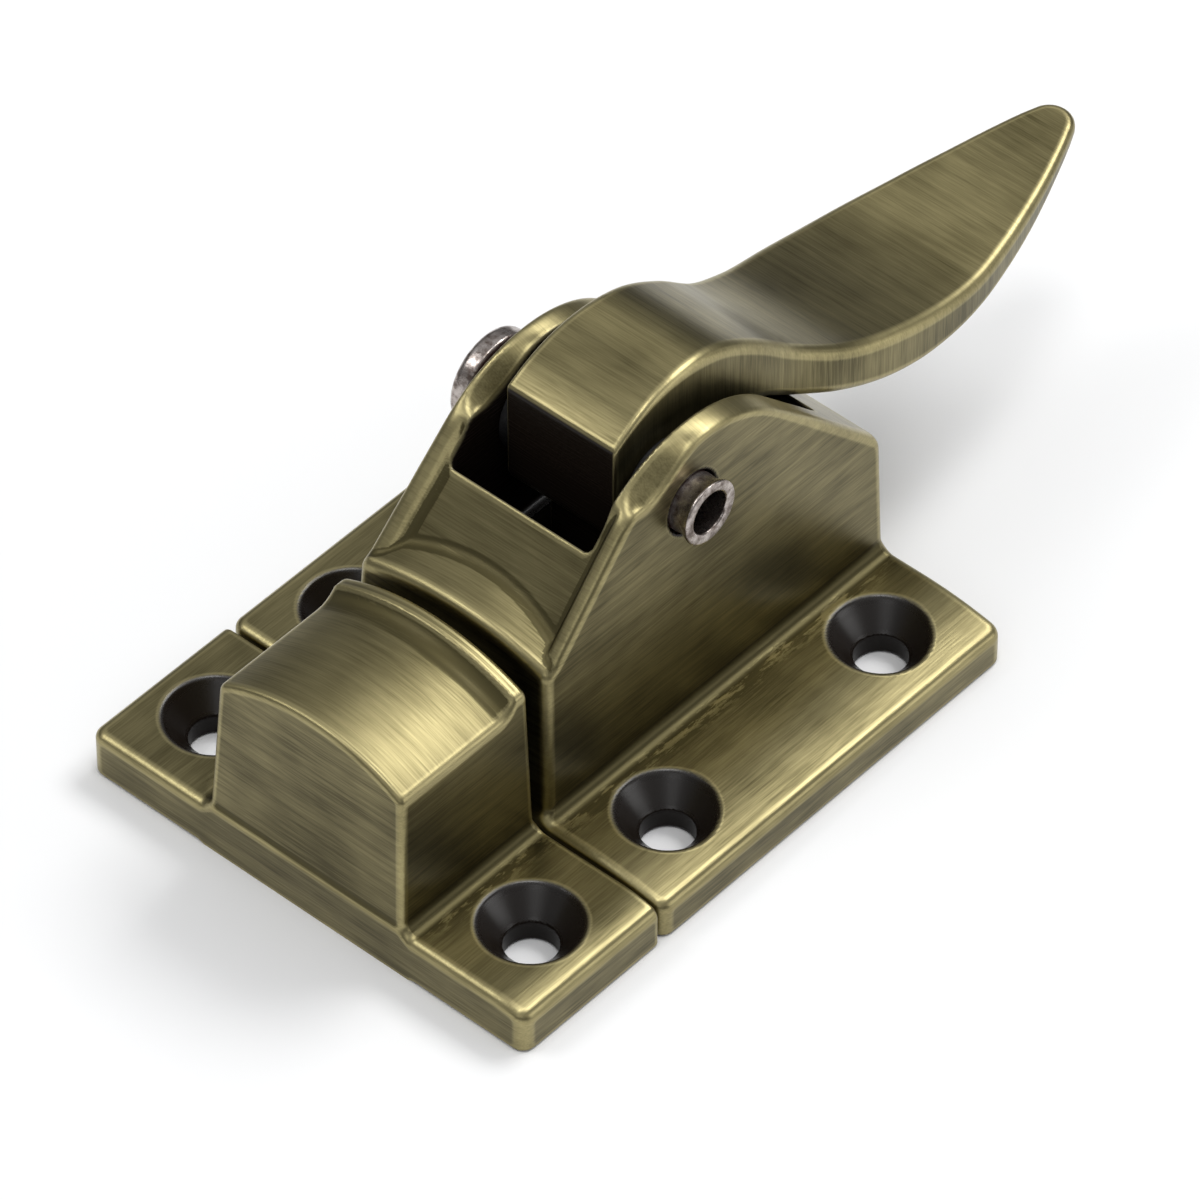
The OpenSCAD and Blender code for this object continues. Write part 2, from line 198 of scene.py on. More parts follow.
def rounded_rectangle(u, v, half_u, half_v, r):
    """Distance to a rectangle with rounded corners around the origin."""
    du = np.abs(u) - half_u + r
    dv = np.abs(v) - half_v + r
    return np.hypot(np.maximum(du, 0), np.maximum(dv, 0)) + np.minimum(np.maximum(du, dv), 0) - r


def block(x, y, z, low, high, r):
    """Distance to a box between two corners, with edges rounded to radius r."""
    middle = [(a + b) / 2 for a, b in zip(low, high)]
    half = [(b - a) / 2 for a, b in zip(low, high)]
    outline = rounded_rectangle(x - middle[0], y - middle[1], half[0], half[1], r)
    return overlap(outline, np.abs(z - middle[2]) - half[2], r)


def drafted_side(x, z, width):
    """Distance to side walls that lean in with the draft, from a width at the plate's face."""
    return (np.abs(x) - width / 2 + (z - PLATE_T) * math.tan(DRAFT)) * math.cos(DRAFT)


def cast_plate(x, y, z, middle_y, length, roll):
    """Distance to a plate. Polishing has rolled off its top at the near side, over a width and by a drop."""
    outline = rounded_rectangle(x, y - middle_y, PLATE_W / 2, length / 2, CORNER_R)
    share = np.maximum(x - PLATE_W / 2 + roll[0], 0) / roll[0]
    return overlap(overlap(outline, z - PLATE_T + roll[1] * share * share, EDGE_R), -z, 0.25)


def countersink(x, y, z, hole_x, hole_y):
    """Distance to a countersunk screw hole."""
    away = np.hypot(x - hole_x, y - hole_y)
    lean = math.atan2(SINK_R - HOLE_R, SINK_DEPTH)
    flare = (away - SINK_R - np.minimum(z - PLATE_T, 0) * math.tan(lean)) * math.cos(lean)
    return np.minimum(away - HOLE_R, flare)


def along_x(y, z, at_y, at_z, r):
    """Distance to an endless round bar along X."""
    return np.hypot(y - at_y, z - at_z) - r


def body_recesses(x, y, z):
    """Distance to the screw holes, the lever's slot and the bolt's channel of the latch."""
    rise = SLOT_BACK_Z - SLOT_HEEL_Z
    run = SLOT_BACK_Y - SLOT_HEEL_Y
    heel = (run * (SLOT_HEEL_Z - z) + rise * (y - SLOT_HEEL_Y)) / math.hypot(run, rise)
    rear = np.minimum(y - SLOT_HEEL_Y, overlap(y - SLOT_BACK_Y, heel, 0.3))
    slot = overlap(overlap(SLOT_FRONT_Y - y, rear, 0.5), CHANNEL_TOP - 1 - z, 0.1)
    slot = overlap(slot, np.abs(x) - SLOT_HALF, 0.4)
    channel = block(x, y, z, (-CHANNEL_HALF, CHANNEL_FRONT_Y, BELOW),
                    (CHANNEL_HALF, CHANNEL_REAR_Y, CHANNEL_TOP), 0.3)
    mouth = block(x, y, z, (-CHANNEL_HALF, HOUSE_FRONT_Y - 4, NOSE_LOW - CLEARANCE),
                  (CHANNEL_HALF, CHANNEL_FRONT_Y + 2, CHANNEL_TOP), 0.3)
    holes = countersink(np.abs(x), np.abs(y), z, HOLE_X, HOLE_Y)
    return slot, np.minimum(np.minimum(channel, mouth), holes)


def ground_tops(x, y, profile):
    """Distance to the ears' arc, ground down towards the near side, most of all in front."""
    front = np.exp(-((y - GRIND_Y) / GRIND_LEN) ** 2)
    # The grinding starts at the crease over the slanted face, and fades out before the slot's back.
    start = np.clip((y - CREASE_Y + 0.8) / 3, 0, 1)
    share = start * start * (3 - 2 * start) * np.clip((SLOT_BACK_Y - 2 - y) / 5, 0, 1)
    slant = share * (GRIND_SLANT + GRIND_FRONT_SLANT * front)
    across = np.clip(np.where(x > 0, x - SLOT_HALF, x + EAR_OUTER), 0, GRIND_WIDTH)
    return (profile + slant * across) / np.sqrt(1 + slant * slant)


def latch_body(x, y, z):
    """Distance to the latch's casting: plate, housing with its two ears, and ledge in front."""
    slope = (z - SLOPE_FOOT_Z - y + SLOPE_FOOT_Y) / math.sqrt(2)
    back_slope = (z - BACK_H + y - BACK_Y) / math.sqrt(2)
    side = drafted_side(x, z, HOUSE_W)
    front = (HOUSE_FRONT_Y + z * math.tan(DRAFT) - y) * math.cos(DRAFT)
    walls = overlap(side, front, 0.7)

    profile = overlap(overlap(slope, back_slope, EAR_R), y - BACK_Y, 0.8)
    housing = overlap(profile, walls, 0.8)
    housing = overlap(housing, ground_tops(x, y, profile), 0.25)
    # The slanted front face is sunk between two rims, up to the crease below the ears.
    lean = np.where(x < 0, FAR_BEVEL, NEAR_BEVEL) / RIM_H
    bevel = (side + RIM_W - slope * lean) / np.sqrt(1 + lean * lean)
    face = overlap(-(slope + RIM_H), bevel, 0.05)
    face_end = (y - CREASE_Y - 0.8 - 2 * slope) / 2.8
    housing = carved(housing, overlap(face, face_end, 0.1), 0.2)

    # The ledge in front has an arched top that climbs towards the slanted face.
    half = HOUSE_W / 2 - (LEDGE_H - PLATE_T) * math.tan(DRAFT)
    arch_r = (half * half + LEDGE_RISE * LEDGE_RISE) / (2 * LEDGE_RISE)
    arch_z = LEDGE_H + LEDGE_RISE - arch_r + (y - HOUSE_FRONT_Y) * math.tan(LEDGE_PITCH)
    arch = (np.hypot(x, z - arch_z) - arch_r) * math.cos(LEDGE_PITCH)
    ledge = overlap(overlap(walls, arch, 0.7), y - SLOPE_FOOT_Y - 4, 0.5)
    housing = np.maximum(joined(housing, ledge, 0.2), walls)

    slot, other_recesses = body_recesses(x, y, z)
    housing = carved(housing, slot, 0.28)
    plate = cast_plate(x, y, z, 0, LATCH_LEN, LATCH_ROLL)
    body = joined(plate, np.maximum(housing, ROOT_Z - z), FILLET_R)
    body = carved(np.maximum(body, np.abs(y) - BACK_Y), other_recesses, 0.18)
    # Below and inside: the sheet's bed, the rivet's hole, the screws' threads and the spring's stud.
    bed = block(x, y, z, (-SHEET_HALF - CLEARANCE, SHEET_FRONT_Y - CLEARANCE, BELOW),
                (SHEET_HALF + CLEARANCE, SHEET_REAR_Y + CLEARANCE, SHEET_T), 0.1)
    body = carved(body, bed, 0.15)
    body = carved(body, along_x(y, z, PIVOT_Y, PIVOT_Z, RIVET_R + 0.05), 0.1)
    thread = overlap(np.hypot(np.abs(x) - SCREW_X, y) - SCREW_R - 0.05, z - SCREW_LEN - 0.5, 0.1)
    stud = overlap(np.hypot(x, z - SPRING_Z) - STUD_R, CHANNEL_REAR_Y - STUD_LEN - y, 0.3)
    stud = overlap(stud, y - CHANNEL_REAR_Y - 1, 0.3)
    return joined(carved(body, thread, 0.1), stud, 0.2)


def strike_recesses(x, y, z):
    """Distance to the screw holes and the bolt's pocket of the strike."""
    inner = HOOD_W / 2 - HOOD_WALL
    hollow = block(x, y, z, (-inner, HOOD_FRONT_Y + HOOD_WALL, BELOW),
                   (inner, STRIKE_BACK_Y + 4, HOOD_CEILING), 0.5)
    return np.minimum(hollow, countersink(np.abs(x), y, z, HOLE_X, (STRIKE_FRONT_Y + STRIKE_BACK_Y) / 2))


def strike(x, y, z):
    """Distance to the strike's casting: plate and hood, whose arched top flares up to a lip."""
    half = HOOD_W / 2 - (HOOD_H - PLATE_T) * math.tan(DRAFT)
    arch_r = (half * half + HOOD_RISE * HOOD_RISE) / (2 * HOOD_RISE)
    cove_r = (COVE_LEN * COVE_LEN + LIP_H * LIP_H) / (2 * LIP_H)
    cove_y = HOOD_BACK_Y - LIP_TOP - COVE_LEN
    into = np.clip(y - cove_y, 0, COVE_LEN)
    lift = cove_r - np.sqrt(cove_r * cove_r - into * into)
    top = np.hypot(x, z - HOOD_H - HOOD_RISE + arch_r) - arch_r - lift
    side = drafted_side(x, z, HOOD_W)
    front = (HOOD_FRONT_Y + (z - PLATE_T) * math.tan(HOOD_LEAN) - y) * math.cos(HOOD_LEAN)
    hood = overlap(overlap(overlap(side, front, 0.5), y - HOOD_BACK_Y, 0.45), top, 0.45)
    middle = (STRIKE_FRONT_Y + STRIKE_BACK_Y) / 2
    spare = 1.2
    plate = cast_plate(x, y, z, middle + spare / 2, STRIKE_LEN + spare, STRIKE_ROLL)
    plate = overlap(plate, y - STRIKE_BACK_Y, 0.3)
    body = joined(plate, np.maximum(hood, ROOT_Z - z), FILLET_R)
    body = np.maximum(body, np.abs(y - middle) - STRIKE_LEN / 2)
    return carved(body, strike_recesses(x, y, z), 0.18)


def smooth_line(stations):
    """A table of a smooth curve through stations, at even steps of the first value."""
    step = 0.1
    p = np.array(stations, float)
    slopes = np.gradient(p[:, 1], p[:, 0])
    u = np.arange(p[0, 0], p[-1, 0], step)
    i = np.clip(np.searchsorted(p[:, 0], u, side="right") - 1, 0, len(p) - 2)
    width = p[i + 1, 0] - p[i, 0]
    t = (u - p[i, 0]) / width
    v = ((2 * t - 3) * t * t + 1) * p[i, 1] + ((t - 2) * t + 1) * t * width * slopes[i]
    v += (3 - 2 * t) * t * t * p[i + 1, 1] + (t - 1) * t * t * width * slopes[i + 1]
    return u, v


def height_over(table, u, v):
    """Rough distance of v above a tabled curve of u."""
    at = np.interp(u, *table)
    lean = np.interp(u, table[0], np.gradient(table[1], table[0]))
    return (v - at) / np.sqrt(1 + lean * lean)


# The lever's outlines: its top, its underside and its edge seen from above, from hub to tip
TOP_LINE = smooth_line([
    (-HUB_FRONT - 2, CROWN - 4.0), (-HUB_FRONT, CROWN - 2.5), (-0.5, CROWN - 0.6), (3.5, CROWN),
    (7.5, CROWN - 0.75), (11.5, 5.0), (15.5, 1.75), (20, -0.9), (0.5 * REACH, -2.8),
    (0.655 * REACH, -4.2), (0.81 * REACH, -4.0), (REACH, -2.9), (REACH + 5, -2.5)])
UNDER_LINE = smooth_line([
    (-HUB_FRONT - 2, 0.5), (2, 0.9), (7.5, 1.0), (11, -0.4), (15.5, -3.2), (21, -5.8), (0.52 * REACH, -7.3),
    (0.675 * REACH, -7.4), (0.83 * REACH, -6.4), (0.91 * REACH, -5.3), (REACH, -4.2), (REACH + 5, -3.5)])
SIDE_LINE = smooth_line([
    (-HUB_FRONT - 6, HUB_HALF), (11, HUB_HALF), (15, HUB_HALF + 0.2),
    (19, 0.45 * HUB_HALF + 0.55 * BLADE_HALF), (24, 0.98 * BLADE_HALF), (0.56 * REACH, BLADE_HALF),
    (0.66 * REACH, 0.95 * BLADE_HALF), (0.75 * REACH, 0.81 * BLADE_HALF), (0.83 * REACH, 0.65 * BLADE_HALF),
    (0.91 * REACH, 0.46 * BLADE_HALF), (REACH - TIP_R, 1.09 * TIP_R), (REACH + 5, -1.5)])


def lever(x, y, z):
    """Distance to the lever's casting: blade, hub round the rivet, and foot that reaches into the bolt."""
    y = y - PIVOT_Y
    z = z - PIVOT_Z
    top = height_over(TOP_LINE, y, z)
    blade = overlap(top, -height_over(UNDER_LINE, y, z), 0.35)
    hub = joined(blade, np.hypot(y, z) - HUB_R, 1.2)
    hub = overlap(hub, -HUB_FRONT - y, 0.3)
    sides = np.maximum(height_over(SIDE_LINE, y, np.abs(x)), y - REACH + 0.65 * TIP_R)
    plan = np.minimum(sides, np.hypot(x, y - REACH + TIP_R) - TIP_R)
    rounding = np.interp(y, [-HUB_FRONT, 6, 0.4 * REACH, 0.95 * REACH], [0.25, 0.85, 0.9, 0.6])
    casting = overlap(hub, plan, rounding)
    shank = overlap(np.abs(y) - FOOT_R, np.maximum(z, -FOOT_DROP - z), 0.1)
    foot = np.minimum(shank, np.hypot(y, z + FOOT_DROP) - FOOT_R)
    casting = joined(casting, overlap(foot, np.abs(x) - FOOT_HALF, 0.3), 0.4)
    return carved(casting, np.hypot(y, z) - RIVET_R - 0.06, 0.1)


def bolt(x, y, z):
    """Distance to the bolt: bar, bevelled nose, window for the lever's foot, and stud inside the spring."""
    body = block(x, y, z, (-BOLT_HALF, CHANNEL_FRONT_Y + 0.2, BOLT_LOW),
                 (BOLT_HALF, BOLT_REAR_Y, BOLT_TOP), 0.3)
    nose = block(x, y, z, (-BOLT_HALF, NOSE_TIP_Y, NOSE_LOW), (BOLT_HALF, CHANNEL_FRONT_Y + 3, BOLT_TOP), 0.5)
    rise = NOSE_BEVEL_Z - NOSE_LOW
    run = NOSE_BEVEL_Y - NOSE_TIP_Y
    bevel = (run * (NOSE_BEVEL_Z - z) - rise * (y - NOSE_TIP_Y)) / math.hypot(run, rise)
    body = joined(body, overlap(nose, bevel, 0.5), 0.2)
    window = block(x, y, z, (-WINDOW_HALF, PIVOT_Y - 4.5, WINDOW_LOW),
                   (WINDOW_HALF, PIVOT_Y + 2.55, BOLT_TOP + 4), 0.2)
    stud = overlap(np.hypot(x, z - SPRING_Z) - STUD_R, y - BOLT_REAR_Y - STUD_LEN, 0.3)
    return joined(carved(body, window, 0.1), overlap(stud, BOLT_REAR_Y - 1 - y, 0.2), 0.2)


def back_plate(x, y, z):
    """Distance to the sheet under the bolt, with its two countersunk holes."""
    plate = block(x, y, z, (-SHEET_HALF, SHEET_FRONT_Y, 0), (SHEET_HALF, SHEET_REAR_Y, SHEET_T), 0.12)
    away = np.hypot(np.abs(x) - SCREW_X, y)
    sink = (away + z - SCREW_HEAD_R - 0.2) / math.sqrt(2)
    return carved(plate, np.minimum(away - SCREW_R - 0.1, sink), 0.05)


def plate_screws(x, y, z):
    """Distance to the two screws of the sheet, each with a thread and a slot."""
    away = np.hypot(np.abs(x) - SCREW_X, y)
    turn = np.mod(z / SCREW_PITCH + np.arctan2(y, np.abs(x) - SCREW_X) / math.tau, 1)
    thread = THREAD_DEPTH * np.abs(turn * 2 - 1) * (z > SCREW_NECK)
    shank = overlap(away - SCREW_R + thread, z - SCREW_LEN, 0.2)
    head = overlap((away + z - SCREW_HEAD_R - 0.05) / math.sqrt(2), away - SCREW_HEAD_R, 0.05)
    screw = overlap(np.minimum(shank, head), -z, 0.05)
    return carved(screw, np.maximum(np.abs(y) - 0.25, z - 0.4), 0.03)


def spacer_washers(x, y, z):
    """Distance to the washers on both sides of the lever's hub."""
    away = np.hypot(y - PIVOT_Y, z - PIVOT_Z)
    disc = overlap(away - WASHER_R, np.abs(np.abs(x) - WASHER_X) - WASHER_T / 2, 0.1)
    return carved(disc, away - RIVET_R - 0.05, 0.1)


# The corners and edges of a grid cell
CORNERS = np.array([[i, j, k] for i in (0, 1) for j in (0, 1) for k in (0, 1)])
CELL_EDGES = [(a, b) for a in CORNERS for b in CORNERS if (b - a).sum() == 1 and (b - a).min() == 0]


def sampled(field, low, high, step):
    """Values of a distance field on an even grid, worked out in slices to save memory."""
    axes = [np.arange(a - 2 * step, b + 3 * step, step, dtype=np.float32) for a, b in zip(low, high)]
    y = axes[1][None, :, None]
    z = axes[2][None, None, :]
    parts = []
    thick = 16
    for i in range(0, len(axes[0]), thick):
        x = axes[0][i:i + thick, None, None]
        shape = (x.shape[0], len(axes[1]), len(axes[2]))
        parts.append(np.broadcast_to(field(x, y, z), shape).astype(np.float32))
    return np.concatenate(parts), np.array([a[0] for a in axes], float)


def net(values, origin, step):
    """Points and four-sided faces of the zero surface: one point in each grid cell that it crosses."""
    inside = values < 0
    size = [n - 1 for n in inside.shape]
    count = np.zeros(size, np.int8)
    for i, j, k in CORNERS:
        count += inside[i:size[0] + i, j:size[1] + j, k:size[2] + k]
    cells = np.argwhere((count > 0) & (count < 8))
    index = np.full(count.shape, -1, np.int64)
    index[tuple(cells.T)] = np.arange(len(cells))
    total = np.zeros((len(cells), 3))
    hits = np.zeros((len(cells), 1))
    for start, end in CELL_EDGES:
        a = values[tuple((cells + start).T)]
        b = values[tuple((cells + end).T)]
        crossed = (a < 0) != (b < 0)
        t = np.where(crossed, a / np.where(crossed, a - b, 1), 0)
        total += np.where(crossed[:, None], start + t[:, None] * (end - start), 0)
        hits += crossed[:, None]
    faces = []
    for axis in range(3):
        u = np.eye(3, dtype=int)[(axis + 1) % 3]
        v = np.eye(3, dtype=int)[(axis + 2) % 3]
        near = np.take(inside, range(inside.shape[axis] - 1), axis)
        far = np.take(inside, range(1, inside.shape[axis]), axis)
        at = np.argwhere(near != far)
        quad = np.stack([index[tuple((at - u - v).T)], index[tuple((at - v).T)],
                         index[tuple(at.T)], index[tuple((at - u).T)]], axis=1)
        outward = near[tuple(at.T)]
        faces.append(np.where(outward[:, None], quad, quad[:, ::-1]))
    return origin + (cells + total / hits) * step, np.concatenate(faces)


def surface(name, field, low, high, step):
    """A mesh of a distance field, with its points, normals and curvature taken from the field itself."""
    step = step * GRID_SCALE
    points, faces = net(*sampled(field, low, high, step), step)
    reach = 0.06
    bend_reach = 0.3
    pulls = 3
    for _ in range(pulls):
        value = field(*points.T)
        sides = [(field(*(points + d).T), field(*(points - d).T)) for d in np.eye(3) * reach]
        slope = np.stack([(a - b) / (2 * reach) for a, b in sides], axis=1)
        steep = np.maximum((slope * slope).sum(1), 0.2)
        move = np.clip(value / steep, -step, step)
        points -= move[:, None] * slope
    around = sum(field(*(points + d).T) + field(*(points - d).T) for d in np.eye(3) * bend_reach)
    bend = (around - 6 * value) / bend_reach ** 2
    normals = slope / np.maximum(np.linalg.norm(slope, axis=1), 1e-6)[:, None]
    mesh = bpy.data.meshes.new(name)
    mesh.from_pydata((points * MM).tolist(), [], faces.tolist())
    mesh.update()
    mesh.polygons.foreach_set("use_smooth", [True] * len(mesh.polygons))
    mesh.normals_split_custom_set_from_vertices(normals.tolist())
    mesh.attributes.new("bend", "FLOAT", "POINT").data.foreach_set("value", bend.astype(np.float32))
    piece = bpy.data.objects.new(name, mesh)
    bpy.context.scene.collection.objects.link(piece)
    return piece, points, normals


def link(tree, value, socket):
    """Puts a constant into a socket, or joins another node's output to it."""
    if isinstance(value, bpy.types.NodeSocket):
        tree.links.new(value, socket)
    else:
        socket.default_value = value


def add(tree, kind, inputs=(), **settings):
    """Adds a shader node with its settings and inputs, and returns it."""
    made = tree.nodes.new(kind)
    for name, value in settings.items():
        setattr(made, name, value)
    for name, value in dict(inputs).items():
        link(tree, value, made.inputs[name])
    return made


def calc(tree, operation, a, b=0.0, clamp=False):
    """Works out one sum in the shader."""
    return add(tree, "ShaderNodeMath", {0: a, 1: b}, operation=operation, use_clamp=clamp).outputs[0]


def span(tree, value, low, high, to_low=0.0, to_high=1.0):
    """Maps a value from one range to another, clamped at both ends."""
    sockets = {"Value": value, "From Min": low, "From Max": high, "To Min": to_low, "To Max": to_high}
    return add(tree, "ShaderNodeMapRange", sockets).outputs[0]


def blend(tree, share, first, second):
    """Mixes two colours by a share from 0 to 1."""
    made = add(tree, "ShaderNodeMix", data_type="RGBA")
    for value, socket in ((share, made.inputs[0]), (first, made.inputs[6]), (second, made.inputs[7])):
        link(tree, value, socket)
    return made.outputs[2]


def noise(tree, where, scale, detail=3.0, roughness=0.55):
    """Noise whose size is scale per millimetre along each axis."""
    moved = add(tree, "ShaderNodeMapping", {"Vector": where, "Scale": tuple(s / MM for s in scale)})
    sockets = {"Vector": moved.outputs[0], "Scale": 1.0, "Detail": detail, "Roughness": roughness}
    return add(tree, "ShaderNodeTexNoise", sockets).outputs[0]


def streaks(tree, where, grain, flat, along, across, detail=3.0):
    """Noise drawn out along the grain, a direction at each point. On flat tops its height doesn't count."""
    parts = add(tree, "ShaderNodeSeparateXYZ", {0: grain})
    level = calc(tree, "MULTIPLY", parts.outputs["X"], flat)
    tilted = calc(tree, "SUBTRACT", parts.outputs["X"], level)
    shares = [tilted, parts.outputs["Y"], parts.outputs["Z"], level]
    scales = [(along, across, across), (across, along, across), (across, across, along), (along, across, 0.0)]
    total = 0.0
    for share, scale in zip(shares, scales):
        total = calc(tree, "ADD", calc(tree, "MULTIPLY", noise(tree, where, scale, detail), share), total)
    return total


def start_material(name):
    """A new material with one shader, and the place on the piece that its patterns start from."""
    material = bpy.data.materials.new(name)
    material.use_nodes = True
    tree = material.node_tree
    tree.nodes.clear()
    shader = tree.nodes.new("ShaderNodeBsdfPrincipled")
    output = tree.nodes.new("ShaderNodeOutputMaterial")
    tree.links.new(shader.outputs[0], output.inputs[0])
    where = tree.nodes.new("ShaderNodeTexCoord").outputs["Object"]
    return material, tree, shader, where


def antique_brass():
    """Brushed brass under a dark patina, which the brush has left in hollows, darker on steep faces and
    towards the foot of walls; painted shade blackens recesses and closed-in gaps, along with the
    countersinks' own black.
    """
    material, tree, shader, where = start_material("antique_brass")
    grain = add(tree, "ShaderNodeAttribute", attribute_name="grain").outputs["Vector"]
    bend = add(tree, "ShaderNodeAttribute", attribute_name="bend").outputs["Fac"]
    black_recesses_and_shade = add(tree, "ShaderNodeAttribute", attribute_name="black_recesses_and_shade").outputs["Fac"]
    normal = add(tree, "ShaderNodeTexCoord").outputs["Normal"]
    upward = add(tree, "ShaderNodeSeparateXYZ", {0: normal}).outputs["Z"]
    flat = span(tree, upward, 0.76, 0.84)
    fine = streaks(tree, where, grain, flat, 0.3, 8.5)
    broad = streaks(tree, where, grain, flat, 0.08, 1.9, 2.0)
    cloud = noise(tree, where, (0.14, 0.14, 0.14), 2.0)
    fleck = noise(tree, where, (1.6, 0.35, 1.6), 4.0, 0.7)
    shade = add(tree, "ShaderNodeAmbientOcclusion", {"Distance": 6 * MM}, samples=16).outputs["AO"]

    hollow = span(tree, bend, -0.12, -0.45)
    edge = span(tree, bend, 0.15, 0.8)
    # Painted shade: black where ambient occlusion finds the casting closed in, and where the stored black
    # marks recesses.
    shade_and_black_share = calc(tree, "MAXIMUM", span(tree, shade, 0.2, 0.04), black_recesses_and_shade)
    patina = span(tree, fine, 0.34, 0.68, 0.1, 0.36)
    patina = calc(tree, "ADD", patina, span(tree, broad, 0.34, 0.68, 0.2, 0.4))
    patina = calc(tree, "ADD", patina, span(tree, cloud, 0.36, 0.68, 0.0, 0.26))
    patina = calc(tree, "ADD", patina, calc(tree, "MULTIPLY", hollow, 0.5))
    # Steep faces are darker than level tops.
    patina = calc(tree, "ADD", patina, span(tree, upward, 0.2, 0.75, 0.16, 0.0))
    # Level tops darken towards the foot of a wall, where worn flecks of brass show through.
    level = span(tree, upward, 0.85, 0.97)
    corner = calc(tree, "MULTIPLY", span(tree, shade, 0.9, 0.55, 0.0, 0.6), level)
    foot = calc(tree, "MULTIPLY", span(tree, shade, 0.76, 0.66), level)
    patina = calc(tree, "ADD", patina, corner)
    patina = calc(tree, "SUBTRACT", patina, calc(tree, "MULTIPLY", foot, span(tree, fleck, 0.5, 0.57)))
    patina = calc(tree, "SUBTRACT", patina, calc(tree, "MULTIPLY", edge, 0.5), clamp=True)

    brass = blend(tree, patina, BRASS, PATINA)
    colour = blend(tree, shade_and_black_share, brass, SINK_BLACK_AND_SHADE)
    link(tree, colour, shader.inputs["Base Color"])
    link(tree, span(tree, shade_and_black_share, 0, 1, 1.0, 0.0), shader.inputs["Metallic"])
    roughness = calc(tree, "ADD", span(tree, fine, 0.3, 0.7, 0.31, 0.38), calc(tree, "MULTIPLY", hollow, 0.1))
    roughness = calc(tree, "ADD", roughness, calc(tree, "MULTIPLY", black_recesses_and_shade, -0.08))
    link(tree, roughness, shader.inputs["Roughness"])
    link(tree, span(tree, upward, 0.45, 0.7, 0.08, 0.5), shader.inputs["Specular IOR Level"])
    shader.inputs["Anisotropic"].default_value = 0.6
    shader.inputs["Coat Weight"].default_value = 0.1
    shader.inputs["Coat Roughness"].default_value = 0.3
    tangent = add(tree, "ShaderNodeVectorTransform", {0: grain}, vector_type="VECTOR",
                  convert_from="OBJECT", convert_to="WORLD").outputs[0]
    link(tree, tangent, shader.inputs["Tangent"])
    height = calc(tree, "ADD", fine, calc(tree, "MULTIPLY", cloud, 1.5))
    bump = add(tree, "ShaderNodeBump", {"Strength": 0.2, "Distance": 0.03 * MM, "Height": height})
    link(tree, bump.outputs[0], shader.inputs["Normal"])
    return material


def plain_metal(name, light, dark, rough, tint=None, reach=2.5):
    """Worn metal with a mottled surface, and painted shade in the given tint in its hollows, where a tint is
    given.
    """
    material, tree, shader, where = start_material(name)
    spots = noise(tree, where, (1.4, 1.4, 1.4), 4.0, 0.65)
    scratch = noise(tree, where, (6.0, 6.0, 6.0), 3.0)
    colour = blend(tree, span(tree, spots, 0.38, 0.66), (*light, 1), (*dark, 1))
    roughness = span(tree, spots, 0.3, 0.7, rough - 0.06, rough + 0.12)
    if tint:
        shade = add(tree, "ShaderNodeAmbientOcclusion", {"Distance": reach * MM}, samples=8).outputs["AO"]
        # Painted shade: where ambient occlusion is low, the colour goes over to the tint, duller and less
        # metallic.
        painted_hollow_shade = span(tree, shade, 0.6, 0.2)
        colour = blend(tree, painted_hollow_shade, colour, (*tint, 1))
        roughness = calc(tree, "ADD", roughness, calc(tree, "MULTIPLY", painted_hollow_shade, 0.4))
        link(tree, span(tree, painted_hollow_shade, 0.0, 1.0, 1.0, 0.0), shader.inputs["Metallic"])
        link(tree, span(tree, painted_hollow_shade, 0.0, 1.0, 0.5, 0.05), shader.inputs["Specular IOR Level"])
    link(tree, colour, shader.inputs["Base Color"])
    link(tree, roughness, shader.inputs["Roughness"])
    shader.inputs["Metallic"].default_value = 1.0
    height = calc(tree, "ADD", spots, calc(tree, "MULTIPLY", scratch, 0.3))
    bump = add(tree, "ShaderNodeBump", {"Strength": 0.3, "Distance": 0.05 * MM, "Height": height})
    link(tree, bump.outputs[0], shader.inputs["Normal"])
    return material


def set_finish(piece, directions, black_recesses_and_shade):
    """Stores the direction of the brush strokes at each point of a piece, and the black there: painted shade
    in recesses and gaps, and the countersinks' own black.
    """
    strokes = np.asarray(directions, np.float32).ravel()
    shares = black_recesses_and_shade.astype(np.float32).ravel()
    piece.data.attributes.new("grain", "FLOAT_VECTOR", "POINT").data.foreach_set("vector", strokes)
    piece.data.attributes.new("black_recesses_and_shade", "FLOAT", "POINT").data.foreach_set("value", shares)


def smooth_share(value, low, high):
    """A share for each point that eases from 0 at low to 1 at high."""
    t = np.clip((value - low) / (high - low), 0, 1)
    return (t * t * (3 - 2 * t))[:, None]


def casting_grain(points, normals):
    """Strokes run along the plates and side walls, and across the faces between them."""
    flat = smooth_share(normals[:, 2], 0.5, 0.8) * (1 - smooth_share(points[:, 2], 4.3, 4.9))
    side = smooth_share(np.abs(normals[:, 0]), 0.6, 0.85)
    lengthways = np.maximum(flat, side)
    return lengthways * np.array([0, 1, 0]) + (1 - lengthways) * np.array([1, 0, 0])


def lever_grain(normals):
    """Strokes run across the lever's top, and up and down its edge."""
    side = smooth_share(np.abs(normals[:, 0]), 0.45, 0.75)
    return side * np.array([0, 0, 1]) + (1 - side) * np.array([1, 0, 0])


def place(piece, node, body, material):
    """Gives a piece its material, its body and the CAD node that it stands for."""
    piece.data.materials.append(material)
    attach(piece, body)
    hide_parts(node)


